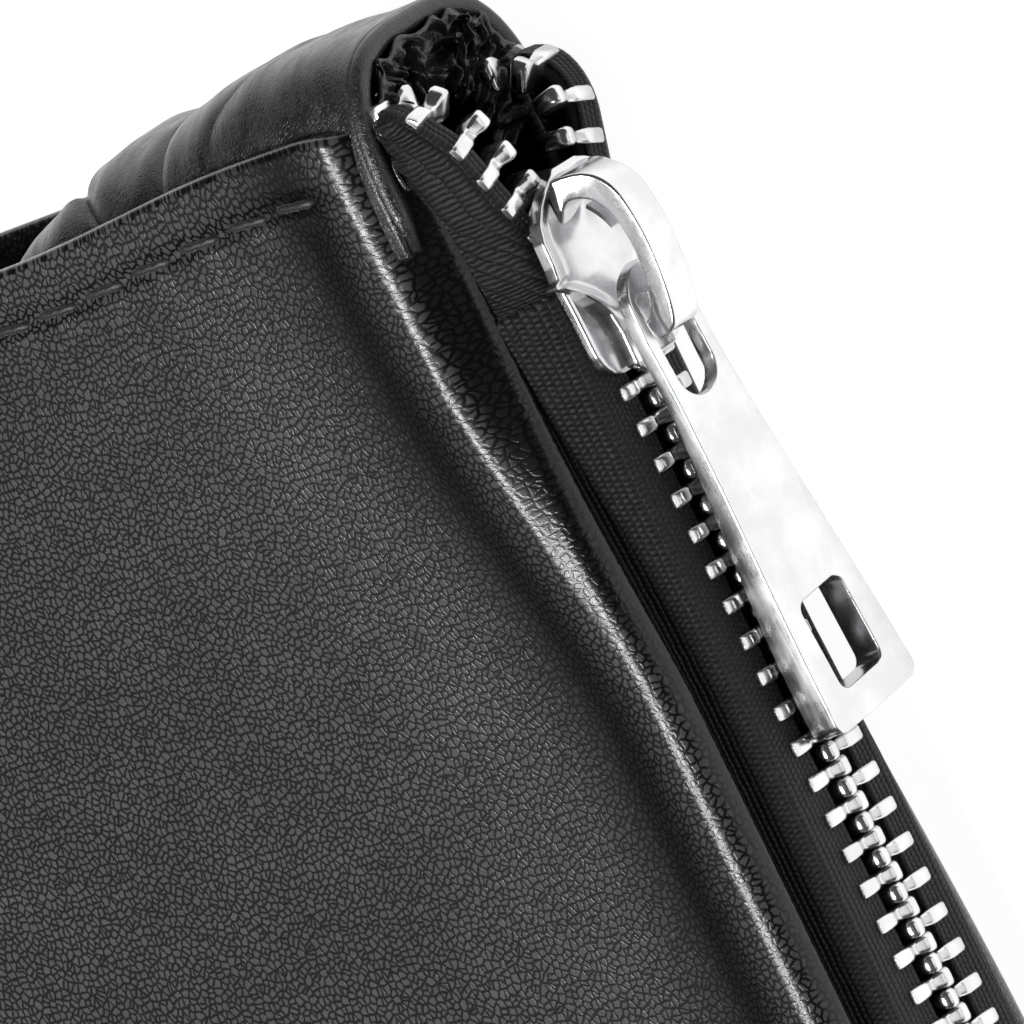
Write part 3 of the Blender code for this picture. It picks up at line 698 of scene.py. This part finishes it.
def tape_edge(side, run, apart):
    """Where the tape turns in beside its leather: how far from its row, and how steeply."""
    if side > 0:
        ease = end_ease(run, *FRONT_EASE)
        edge = max(6.5 - apart / MM, 3.9)
        return edge, max(edge - 1.7, 2.9), 2.15 + 1.5 * ease
    ease = end_ease(run, 20 * MM, 45 * MM)
    return 5.7 - 1.1 * ease, 4.5 - 1.3 * ease, 2.15 + 1.0 * ease


def tape_shape(side, away, run, apart):
    """(across, out) of the tape at a distance along its width from the chain's middle."""
    edge, start, depth = tape_edge(side, run, apart)
    away = away / MM
    past = max(away - edge, 0)
    across = away if away < edge - 0.6 else edge - 0.6 + 0.9 * np.tanh((away - edge + 0.6) / 0.9)
    out = 0.10 * bell(away, 3.9, 0.8) - depth * smooth((away - start) / (edge - start)) - 0.5 * past
    return across * MM, out * MM


def inside_cover(point, side):
    """Moves a point of the tape in under the leather where it would come through it."""
    x, y, z = point
    if side > 0:
        crest = crest_y(x)
        if y > crest:
            skin = THICK + float(front_relief(x, y, crest))
        else:
            outs, drops = zip(*front_roll(x))
            skin = THICK - float(np.interp(crest - y, outs, drops))
        covered = float(smooth((y - front_edge_y(x)) / (0.8 * MM)))
        return np.array((x, y, z - max(z - (skin - UNDER_LEATHER), 0) * covered))
    rear_out, wide, tall = rear_edge(x)
    reach = min(max((rear_out + wide - y) / wide, 0), 1)
    skin = tall * (1 - sqrt(1 - reach * reach))
    covered = float(smooth((y - rear_out) / (0.8 * MM)))
    return np.array((x, y, z + max(skin + UNDER_LEATHER - z, 0) * covered))


def make_tape(name, side, body, *nodes):
    """One half of the zip's tape, from beside the teeth to where it is hidden inside its cover."""
    straight = np.arange(ROW_START - 3 * MM, 78 * MM, 1.5 * MM)
    runs = np.concatenate([straight, np.arange(78 * MM, ROW_END + 1 * MM, 0.4 * MM)])
    aways = np.linspace(TAPE_NEAR, TAPE_FAR[side], 40) * MM
    grid = []
    for run in runs:
        origin, _, to_other, outward = chain_frame(run, side)
        apart = abs(origin[2] - CHAIN_Z)
        column = []
        for away in aways:
            across, out = tape_shape(side, away, run, apart)
            wave = 0.10 * MM * sin(run / (1.9 * MM)) * float(smooth((run - TAPE_WAVES_START) / (10 * MM)))
            out += wave * float(smooth((away - 3 * MM) / (2 * MM)))
            point = origin - to_other * across + outward * TAPE_LIFT - np.array((0, out, 0))
            column.append(inside_cover(point, side))
        grid.append(column)
    tape = shell(name, np.array(grid), TAPE_THICK, TAPE, rim=0.6, flip=side > 0)
    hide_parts(*nodes)
    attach(tape, body)


def make_tape_bead(name, side, body):
    """The woven cord that the teeth are clamped on, as a ridge along the tape's edge."""
    batch = Batch()
    points = []
    run = ROW_START - 3 * MM
    while run < ROW_END + 1 * MM:
        origin, _, to_other, _ = chain_frame(run, side)
        points.append(origin - to_other * CORD_PLACE)
        run += 0.5 * MM
    thread_tube(batch, points, CORD_RADIUS, 12, 0.5, 0.05)
    bead = batch.build(name, TAPE)
    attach(bead, body)


def make_zip():
    make_teeth("front_zip_teeth", 1, 0.0, FRONT, "front_tooth_row", "front_top_stop")
    make_teeth("rear_zip_teeth", -1, PITCH / 2, REAR, "rear_tooth_row", "rear_top_stop")
    make_tape("front_woven_tape", 1, FRONT, "front_zip_tape", "front_tape_end")
    make_tape("rear_woven_tape", -1, REAR, "rear_zip_tape", "rear_tape_end")
    make_tape_bead("front_tape_cord", 1, FRONT)
    make_tape_bead("rear_tape_cord", -1, REAR)


# Slider, crown and puller


def slider_point(x, out, z):
    return (SLIDER_X + x, CHAIN_Y - out, CHAIN_Z + z)


# Half widths of the slider's low wings and of its raised, scooped plate, against x, in mm
WING_WIDTH = (
    (-6.8, 2.6), (-6.5, 3.4), (-5.9, 4.0), (-5.0, 4.25), (-2.5, 4.3), (-0.6, 4.4), (0.6, 4.5), (3.0, 4.4),
)
RAISED_WIDTH = (
    (-6.9, 1.7), (-6.6, 2.1), (-4.6, 2.05), (-3.0, 2.3), (-2.0, 2.8), (-1.2, 3.5), (-0.5, 4.4), (-0.1, 5.0),
    (0.05, 5.7), (0.25, 5.75), (0.5, 5.2), (1.4, 5.05), (3.0, 5.0), (4.2, 4.6), (5.0, 3.9), (5.7, 3.0),
    (6.3, 2.0), (6.7, 1.2),
)
# Heights of the slider's parts outwards from the chain's middle plane, in mm
RAISED_TOP, RAISED_FOOT = 2.40, 1.42
WING_TOP, WING_FOOT = 1.55, 0.75
SCOOP_DEPTH = 0.70
LOWER_PLATE, LOWER_HALF_THICK = -1.80, 0.40
FLANGE, FLANGE_HALF_HEIGHT, FLANGE_SIDE = -1.10, 0.46, 3.85
# Outline of the wedge between the two rows, as (x, z) in mm, and its stations outwards
WEDGE = ((3.9, 0.0), (5.2, 0.65), (6.4, 0.95), (6.6, 0.5), (6.6, -0.5), (6.4, -0.95), (5.2, -0.65))
WEDGE_HEIGHTS = (-2.0, -1.4, 1.4, 1.9)


def half_width(table, x):
    return float(np.interp(x, *zip(*table)))


def edge_drop(z, half, rounded, drop):
    """How far a plate's face falls at its rounded side edge, the last share of its half width."""
    edge = min(max((abs(z) / half - (1 - rounded)) / rounded, 0), 1)
    return drop * (1 - sqrt(max(1 - edge * edge, 0)))


def scooped_height(x, z, half):
    """Outer face of the raised plate: a rim round a shallow scoop that rises to the crown's root."""
    rim = float(smooth((half - abs(z)) / 1.7))
    along = float(smooth((6.6 - x) / 1.8)) * float(smooth((x + 4.5) / 4.0))
    root = bell(z, 0, 0.9) * float(smooth((x - 2.0) / 3.0))
    return RAISED_TOP - SCOOP_DEPTH * rim * along * (1 - root) - edge_drop(z, half, 0.07, 0.24)


def wing_height(x, z, half):
    return WING_TOP - edge_drop(z, half, 0.08, 0.25)


def plate_loft(batch, widths, stations, height_at, bottom):
    """A plate with a shaped outer face and a flat inner one, lofted along x."""
    shares = np.sin(np.linspace(-pi / 2, pi / 2, 49))
    low, high = stations[0], stations[-1]
    rings = []
    for x in stations:
        half = half_width(widths, x)
        lip = 0.28 * (1 - float(smooth((x - low) / 0.35)) * float(smooth((high - x) / 0.35)))
        top = [slider_point(x * MM, (height_at(x, u * half, half) - lip) * MM, u * half * MM) for u in shares]
        under = [slider_point(x * MM, bottom * MM, u * half * MM) for u in shares[::-1]]
        rings.append(top + under)
    batch.loft(rings)


def lower_plate(batch):
    rings = []
    for x in np.linspace(-6.7, 6.5, 40):
        half = half_width(RAISED_WIDTH if x > 0.6 else WING_WIDTH, x)
        section = rounded_section((half - 0.15) * MM, LOWER_HALF_THICK * MM, 0.6, 4)
        rings.append([slider_point(x * MM, LOWER_PLATE * MM + b, a) for a, b in section])
    batch.loft(rings)


def side_flange(batch, side):
    rings = []
    for x in (-6.3, -6.0, -3.0, 0.0, 0.8, 1.2):
        half = 0.38 if -6.2 < x < 1 else 0.2
        section = rounded_section(half * MM, FLANGE_HALF_HEIGHT * MM, 0.7, 3)
        ring = []
        for a, b in section:
            ring.append(slider_point(x * MM, FLANGE * MM + b, side * (FLANGE_SIDE * MM + a)))
        rings.append(ring)
    batch.loft(rings)


def make_slider():
    batch = Batch()
    plate_loft(batch, RAISED_WIDTH, np.linspace(-6.9, 6.7, 150), scooped_height, RAISED_FOOT)
    plate_loft(batch, WING_WIDTH, np.linspace(-6.8, 2.8, 60), wing_height, WING_FOOT)
    lower_plate(batch)
    for side in (-1, 1):
        side_flange(batch, side)
    batch.loft([[slider_point(x * MM, out * MM, z * MM) for x, z in WEDGE] for out in WEDGE_HEIGHTS])
    body = batch.build("slider_plates", POLISHED, 35)
    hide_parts("slider_body")
    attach(body, "zip_slider")


# Crown seen from the side: outer and inner outlines, from the nose foot to the hooked tail, in mm
CROWN_OUTER = (
    (6.2, 1.9), (6.15, 3.2), (5.85, 4.5), (5.1, 5.7), (4.0, 6.45), (2.4, 6.85), (0.4, 6.98), (-1.6, 6.85),
    (-3.5, 6.55), (-4.9, 6.1), (-5.45, 5.6), (-5.65, 4.9), (-5.75, 4.2),
)
CROWN_INNER = (
    (3.3, 1.7), (4.4, 2.6), (4.3, 3.5), (3.7, 4.4), (2.9, 5.05), (1.7, 5.45), (0.2, 5.58), (-1.2, 5.5),
    (-2.5, 5.2), (-3.4, 4.8), (-3.95, 4.4), (-4.25, 4.0), (-4.45, 3.6),
)
CROWN_STATIONS = 44
CROWN_HALF_WIDTH = 1.32


def smooth_line(points, count):
    """A Catmull-Rom curve through points, as an array of count places."""
    points = np.array(points, float)
    padded = np.vstack([2 * points[0] - points[1], points, 2 * points[-1] - points[-2]])
    made = []
    for t in np.linspace(0, len(points) - 1 - 1e-9, count):
        i, f = int(t), t - int(t)
        a, b, c, d = padded[i : i + 4]
        square = 2 * a - 5 * b + 4 * c - d
        cube = 3 * b - a - 3 * c + d
        made.append(0.5 * (2 * b + (c - a) * f + square * f * f + cube * f**3))
    return np.array(made)


def make_crown():
    outer, inner = smooth_line(CROWN_OUTER, CROWN_STATIONS), smooth_line(CROWN_INNER, CROWN_STATIONS)
    batch = Batch()
    rings = []
    for k, (o, i) in enumerate(zip(outer, inner)):
        share = k / (CROWN_STATIONS - 1)
        foot = float(smooth((0.22 - share) / 0.22))
        tail = float(smooth((share - 0.8) / 0.2))
        half_z = CROWN_HALF_WIDTH + 0.88 * foot - 0.15 * tail
        centre, radial = (o + i) / 2, (o - i) / 2
        length = np.linalg.norm(radial)
        direction = radial / length
        ring = []
        for a, b in rounded_section(length, half_z, 0.24, 4):
            spot = centre + direction * a
            ring.append(slider_point(spot[0] * MM, spot[1] * MM, b * MM))
        rings.append(ring)
    batch.loft(rings)
    crown = batch.build("slider_crown_arch", POLISHED, 45)
    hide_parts("slider_crown")
    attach(crown, "zip_slider")


def curve_loop(data, points):
    spline = data.splines.new("POLY")
    spline.points.add(len(points) - 1)
    for point, (x, y) in zip(spline.points, points):
        point.co = (x, y, 0, 1)
    spline.use_cyclic_u = True


def arc(centre, radius, start, end, steps):
    angles = [radians(start + (end - start) * k / steps) for k in range(steps + 1)]
    return [(centre[0] + radius * cos(a), centre[1] + radius * sin(a)) for a in angles]


def rounded_loop(x, y, radius, steps=8):
    points = []
    for cx, cy, start in ((x[1], y[1], 0), (x[0], y[1], 90), (x[0], y[0], 180), (x[1], y[0], 270)):
        centre = (cx - radius if cx == x[1] else cx + radius, cy - radius if cy == y[1] else cy + radius)
        points += arc(centre, radius, start, start + 90, steps)
    return points


def flat_metal(name, loops, half_thick, edge, material):
    """A flat plate with holes from 2D loops, with rounded edges, as a mesh in its own XY plane."""
    data = bpy.data.curves.new(name, "CURVE")
    data.dimensions = "2D"
    data.fill_mode = "BOTH"
    data.extrude = half_thick - edge
    data.bevel_depth = edge
    data.bevel_resolution = 3
    data.offset = -edge
    for loop in loops:
        curve_loop(data, loop)
    source = bpy.data.objects.new(name + "_curve", data)
    bpy.context.scene.collection.objects.link(source)
    bpy.context.view_layer.update()
    mesh = bpy.data.meshes.new_from_object(source.evaluated_get(bpy.context.evaluated_depsgraph_get()))
    bpy.data.objects.remove(source, do_unlink=True)
    obj = bpy.data.objects.new(name, mesh)
    bpy.context.scene.collection.objects.link(obj)
    mesh.materials.clear()
    mesh.materials.append(material)
    return obj


PULLER_LENGTH = 32.5 * MM
PULLER_BAR = 1.1 * MM
PULLER_YAW = radians(-5.5)
PULLER_PITCH = radians(-1.2)
PULLER_TOP_THICK = 1.1 * MM
PULLER_TIP_THICK = 2.3 * MM
PULLER_EDGE = 0.14 * MM
EYE_NEAR, EYE_FAR = 0.7 * MM, 8.4 * MM
EYE_HALF_WIDTH = 1.9 * MM
EYE_CORNER = 0.4 * MM
SLOT_NEAR, SLOT_FAR = PULLER_LENGTH - 9.6 * MM, PULLER_LENGTH - 3.3 * MM
SLOT_HALF_WIDTH = 2.3 * MM
SLOT_CORNER = 0.75 * MM


def puller_half_width(distance):
    return 2.85 * MM + 1.75 * MM * float(smooth((distance - 4 * MM) / (30 * MM)))


def puller_outline():
    """The puller's outline as (distance from the pivot, across), from its round head to its tip."""
    tip = PULLER_LENGTH - PULLER_BAR
    head = arc((1.5 * MM, 0), 2.6 * MM, 180, 100, 12)
    side = [(d * MM, puller_half_width(d * MM)) for d in (3.5, 6, 9, 12, 15, 18, 21, 24, 27)]
    corner = arc((tip - 0.9 * MM, puller_half_width(tip) - 0.9 * MM), 0.9 * MM, 90, 0, 8)
    upper = head + side + corner
    return upper + [(x, -y) for x, y in reversed(upper[1:])]


def make_puller():
    near, side = EYE_NEAR + EYE_CORNER, EYE_HALF_WIDTH - EYE_CORNER
    eye = arc((near, side), EYE_CORNER, 90, 180, 6) + arc((near, -side), EYE_CORNER, 180, 270, 6)
    eye += arc((EYE_FAR - EYE_HALF_WIDTH, 0), EYE_HALF_WIDTH, -90, 90, 16)
    slot = rounded_loop((SLOT_NEAR, SLOT_FAR), (-SLOT_HALF_WIDTH, SLOT_HALF_WIDTH), SLOT_CORNER)
    loops = [puller_outline(), eye, slot]
    puller = flat_metal("puller_plate", loops, PULLER_TOP_THICK / 2, PULLER_EDGE, BRUSHED)
    pivot = Vector(JOINTS["puller_swing"]["pos_m"])
    turn = Matrix.Rotation(PULLER_YAW, 3, "Y") @ Matrix.Rotation(PULLER_PITCH, 3, "Z")
    for vertex in puller.data.vertices:
        distance, across, level = vertex.co
        inward = level
        if level > 0:
            inward += (PULLER_TIP_THICK - PULLER_TOP_THICK) * float(smooth((distance - 5 * MM) / (22 * MM)))
        vertex.co = pivot + turn @ Vector((-distance, inward, across))
    fix_normals(puller)
    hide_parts("puller")
    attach(puller, "zip_puller")


def fix_normals(obj):
    """Joins the flat plate's separate faces and turns them all outwards."""
    bm = bmesh.new()
    bm.from_mesh(obj.data)
    bmesh.ops.remove_doubles(bm, verts=bm.verts, dist=1e-7)
    bmesh.ops.recalc_face_normals(bm, faces=bm.faces)
    bm.to_mesh(obj.data)
    bm.free()
    obj.data.shade_smooth()
    obj.data.set_sharp_from_angle(angle=radians(40))


# Gussets


GUSSET_ROOT = 86.5 * MM
GUSSET_TOP = -44.8
GUSSET_THICK = 0.8 * MM
HEM_Y = -45.0 * MM
HEM_RADIUS = 0.78 * MM
GATHER_Y = -45.7
GATHER_THICK = 0.35 * MM
# How far the gusset reaches along x, against y, in mm
BULGE = (
    (-46, 99.3), (-42, 99.3), (-37.5, 98.9), (-34.5, 98.6), (-29, 98.0), (-25, 97.4), (-20, 97.2),
    (-16, 96.5), (-12, 95.4), (-7.5, 93.2), (0, 91.6), (12, 91.0), (24, 91.4), (40, 93.0), (46, 93.0),
)
# Folds: place along y, how far the fold leans, its turns round the gusset, width and depth, in mm
FOLDS = ((-24.6, -1.6, 1, 0.75, 1.5), (-14.5, -7.0, 1, 0.9, 1.4), (-35.5, 4.0, 2, 0.7, 0.25))


def gusset_bulge(y):
    ys, xs = zip(*BULGE)
    return np.interp(y / MM, ys, xs) * MM


def gusset_point(y, angle, side, shrink=0.0, mirror_seed=0.0):
    """A point of the soft gusset: angle runs from the rear panel, -90, to the front panel, 90."""
    bulge = float(gusset_bulge(y)) - shrink
    half = MID_Z - LEATHER - 0.35 * MM - shrink
    past_spine = max(y - SPINE_Y, 0)
    half = sqrt(max(half * half - past_spine * past_spine, (0.4 * MM) ** 2))
    across = abs(cos(angle)) ** 0.55
    along = abs(sin(angle)) ** 0.62 * (1 if angle > 0 else -1)
    x = GUSSET_ROOT + (bulge - GUSSET_ROOT) * across
    z = MID_Z + half * along
    folds = 0.0
    for place, lean, turns, width, depth in FOLDS:
        folds += bell(y, (place + lean * sin(turns * angle)) * MM, width * MM) * depth
    puff = 0.7 * sin(pi * (y / MM + 44) / 19.5) if y < -24.6 * MM else 0.5 * sin(pi * (y / MM + 24.6) / 11)
    fine = 0.075 * sin(y / (0.62 * MM) + 2.2 * sin(angle * 2 + mirror_seed) + 1.3 * sin(y / (4 * MM)))
    fine *= 0.4 + 0.6 * sin(y / (3.1 * MM) + angle) ** 2
    sag = 0.25 * sin(3 * angle + y / (6 * MM))
    move = (puff * across - folds + fine + sag) * MM * across
    ease = float(smooth((y + 44.5 * MM) / (3 * MM)))
    return (side * (x + move * ease), y, z)


def make_gusset(end, side):
    angles = np.linspace(-pi / 2, pi / 2, 72)
    wrinkled, plain = np.arange(GUSSET_TOP, -4, 0.22), np.arange(-4, 42, 1.0)
    round_spine = np.linspace(42, SPINE_Y / MM + 7.6, 14)
    ys = np.concatenate([wrinkled, plain, round_spine]) * MM
    grid = np.array([[gusset_point(y, a, side, mirror_seed=side) for a in angles] for y in ys])
    gusset = shell(f"{end}_gusset_leather", grid, GUSSET_THICK, SOFT, rim=0.6, flip=side > 0)
    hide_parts(f"{end}_gusset")
    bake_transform(gusset)
    batch = Batch()
    path = [gusset_point(HEM_Y, a, side) for a in np.linspace(-pi / 2, pi / 2, 90)]
    thread_tube(batch, path, HEM_RADIUS, 14)
    hem = batch.build(f"{end}_gusset_hem_roll", SOFT)
    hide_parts(f"{end}_gusset_hem")
    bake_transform(hem)
    ruffle = make_ruffle(end, side)
    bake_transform(ruffle)


def make_ruffle(end, side):
    """Gathered ends of the tape and lining, crumpled into the gusset's mouth behind its hem."""
    angles = np.linspace(-1.45, 1.45, 420)
    depths = np.linspace(0, 1, 64)
    grid = []
    for depth in depths:
        row = []
        for a in angles:
            warp = 0.5 * sin(5 * a + 3 * depth) + 0.35 * sin(11 * a - 6 * depth + 1)
            folds = sin(15 * a + 5 * warp + 3.0 * depth) + 0.6 * sin(25 * a - 4 * warp + 8 * depth)
            folds += 0.7 * sin(11 * depth + 6 * warp) + 0.25 * sin(43 * a + 23 * depth)
            shrink = (0.7 + 4.3 * depth + 0.28 * sin(21 * a + 4 * warp)) * MM
            px, _, pz = gusset_point(HEM_Y, a, side, shrink)
            lift = 0.55 * folds * (1 - 0.3 * depth) * float(smooth(depth / 0.15)) - 0.4 + 1.4 * depth * depth
            row.append((px, (GATHER_Y + lift) * MM, pz))
        grid.append(row)
    return shell(f"{end}_gathered_tape", np.array(grid), GATHER_THICK, GATHERED, rim=0.8, flip=side > 0)


# Pieces that keep their CAD shape


def finish_cad_nodes():
    kept = {
        INNER: (
            "card_panel", "card_slot_1", "card_slot_2", "card_slot_3", "slip_pocket", "coin_pocket_rear_wall",
            "coin_pocket_front_wall", "coin_pocket_top_band",
        ),
        LINING: ("rear_lining", "front_lining"),
        TAPE: ("coin_zip_tape_upper", "coin_zip_tape_lower"),
        TEETH: (
            "bottom_stop", "coin_tooth_row_upper", "coin_tooth_row_lower", "coin_zip_stop_closed",
            "coin_zip_stop_open",
        ),
        POLISHED: ("slider_lock_spring", "coin_slider_body", "coin_slider_crown"),
        BRUSHED: ("coin_puller",),
    }
    for material, names in kept.items():
        for name in names:
            slots = frame["nodes"][name].data.materials
            slots.clear()
            slots.append(material)


# Studio


def aim(obj, target):
    direction = Vector(target) - obj.location
    obj.rotation_euler = direction.to_track_quat("-Z", "Y").to_euler()


def area_light(name, place, size, size_y, power):
    data = bpy.data.lights.new(name, "AREA")
    data.energy = power
    data.shape = "RECTANGLE"
    data.size = size
    data.size_y = size_y
    light = bpy.data.objects.new(name, data)
    bpy.context.scene.collection.objects.link(light)
    light.location = place
    aim(light, LIT_CENTRE)


CAMERA_RIGHT = Vector((-0.433, -0.678, -0.594))
CAMERA_UP = Vector((0.894, -0.236, -0.382))
CAMERA_TARGET = Vector((68.2, -38.4, 13.3)) * MM
CAMERA_DISTANCE = 1.1
VIEW_WIDTH = 64.7 * MM


def make_camera():
    data = bpy.data.cameras.new("camera")
    data.sensor_width = 36
    data.lens = data.sensor_width * CAMERA_DISTANCE / VIEW_WIDTH
    data.clip_start, data.clip_end = 0.01, 20
    camera = bpy.data.objects.new("camera", data)
    bpy.context.scene.collection.objects.link(camera)
    right = CAMERA_RIGHT.normalized()
    back = right.cross(CAMERA_UP).normalized()
    up = back.cross(right)
    turn = Matrix((right, up, back)).transposed()
    camera.matrix_world = Matrix.Translation(CAMERA_TARGET + back * CAMERA_DISTANCE) @ turn.to_4x4()
    bpy.context.scene.camera = camera


LIT_CENTRE = (60 * MM, -30 * MM, 10 * MM)
# Each soft light: place, width, height and power in watts
LIGHTS = (
    ("key", (0.0, 0.03, 0.56), 0.36, 0.10, 4.6),
    ("front_fill", (0.05, -0.65, 0.16), 0.5, 0.25, 0.5),
    ("spine_fill", (-0.01, 0.40, 0.43), 0.26, 0.26, 0.09),
)
FLOOR_HALF = 1.5


def make_studio():
    scene = bpy.context.scene
    scene.view_settings.view_transform = "Standard"
    world = bpy.data.worlds.new("studio")
    scene.world = world
    world.use_nodes = True
    background = world.node_tree.nodes["Background"]
    background.inputs["Color"].default_value = (1, 1, 1, 1)
    background.inputs["Strength"].default_value = 0.07
    paper = Surface("pale_floor", (0.45, 0.45, 0.45), 0.8, Emission_Strength=0.94)
    paper.shader.inputs["Emission Color"].default_value = (1, 1, 1, 1)
    corners = [(x * FLOOR_HALF, y * FLOOR_HALF, 0) for x, y in ((-1, -1), (1, -1), (1, 1), (-1, 1))]
    floor = new_object("floor", corners, [(0, 1, 2, 3)], paper.material)
    floor.location.z = -0.05 * MM
    for name, place, size, size_y, power in LIGHTS:
        area_light(name, place, size, size_y, power)


make_camera()
make_studio()
make_cover()
make_stitches()
make_zip()
make_slider()
make_crown()
make_puller()
for end_name, end_side in (("top", 1), ("bottom", -1)):
    make_gusset(end_name, end_side)
finish_cad_nodes()
